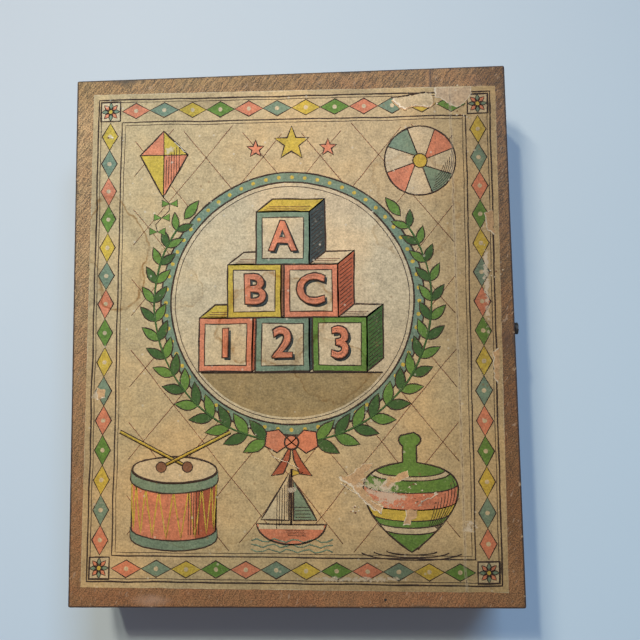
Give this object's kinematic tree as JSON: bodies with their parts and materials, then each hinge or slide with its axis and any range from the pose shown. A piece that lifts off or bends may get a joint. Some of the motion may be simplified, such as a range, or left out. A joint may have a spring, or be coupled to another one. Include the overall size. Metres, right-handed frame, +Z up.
{
  "type": "boxed set of alphabet cubes",
  "caption": "Closed wooden box with hinged papered lid and side hook, holding rows of letter cubes.",
  "frame": {"origin": "centre of the box's underside, on the surface it stands on", "axes": "+Z up through the lid, +Y along the box towards its back wall, +X across the box from the hinges to the hook"},
  "size_m": [0.2249, 0.263, 0.0521],
  "materials": {
    "box_wood": "old waxed softwood, reddish brown, satin, worn edges",
    "cube_wood": "bare pale beech, faces papered with prints",
    "printed_paper": "aged lithographed paper, matt, stained and scuffed",
    "nail_steel": "dark oxidised steel",
    "screw_steel": "dulled steel",
    "hinge_brass": "tarnished brass",
    "hook_iron": "blackened iron sheet"
  },
  "bodies": {
    "box": {"base_board": "box_wood", "body_wall_front": "box_wood", "body_wall_back": "box_wood", "body_wall_hinge_side": "box_wood", "body_wall_clasp_side": "box_wood", "base_nails": "nail_steel", "front_hinge_body_leaf": "hinge_brass", "back_hinge_body_leaf": "hinge_brass", "front_hinge_pin": "hinge_brass", "back_hinge_pin": "hinge_brass", "body_leaf_screws": "screw_steel", "catch_stud": "hook_iron", "cube_a": "cube_wood", "cube_b": "cube_wood", "cube_c": "cube_wood", "cube_d": "cube_wood", "cube_e": "cube_wood", "cube_f": "cube_wood", "cube_g": "cube_wood", "cube_h": "cube_wood", "cube_i": "cube_wood", "cube_j": "cube_wood", "cube_k": "cube_wood", "cube_l": "cube_wood", "cube_m": "cube_wood", "cube_n": "cube_wood", "cube_o": "cube_wood", "cube_p": "cube_wood", "cube_q": "cube_wood", "cube_r": "cube_wood", "cube_s": "cube_wood", "cube_t": "cube_wood", "cube_u": "cube_wood", "cube_v": "cube_wood", "cube_w": "cube_wood", "cube_x": "cube_wood", "cube_y": "cube_wood", "cube_z": "cube_wood", "cube_1": "cube_wood", "cube_2": "cube_wood", "cube_3": "cube_wood", "cube_4": "cube_wood"},
    "lid": {"lid_rim_front": "box_wood", "lid_rim_back": "box_wood", "lid_rim_hinge_side": "box_wood", "lid_rim_clasp_side": "box_wood", "lid_board_wide": "box_wood", "lid_board_narrow": "box_wood", "lid_label": "printed_paper", "lid_nails": "nail_steel", "front_hinge_lid_leaf": "hinge_brass", "back_hinge_lid_leaf": "hinge_brass", "lid_leaf_screws": "screw_steel", "hook_pivot_screw": "hook_iron"},
    "hook": {"swing_hook": "hook_iron"}
  },
  "joints": [
    {"name": "lid_hinge", "type": "hinge", "parent": "box", "child": "lid", "pos_m": [-0.111, 0, 0.0349], "axis": [0, -1, 0], "range_deg": [0, 180]},
    {"name": "hook_swing", "type": "hinge", "parent": "lid", "child": "hook", "pos_m": [0.1093, 0, 0.043], "axis": [1, 0, 0], "range_deg": [-150, 25]}
  ]
}
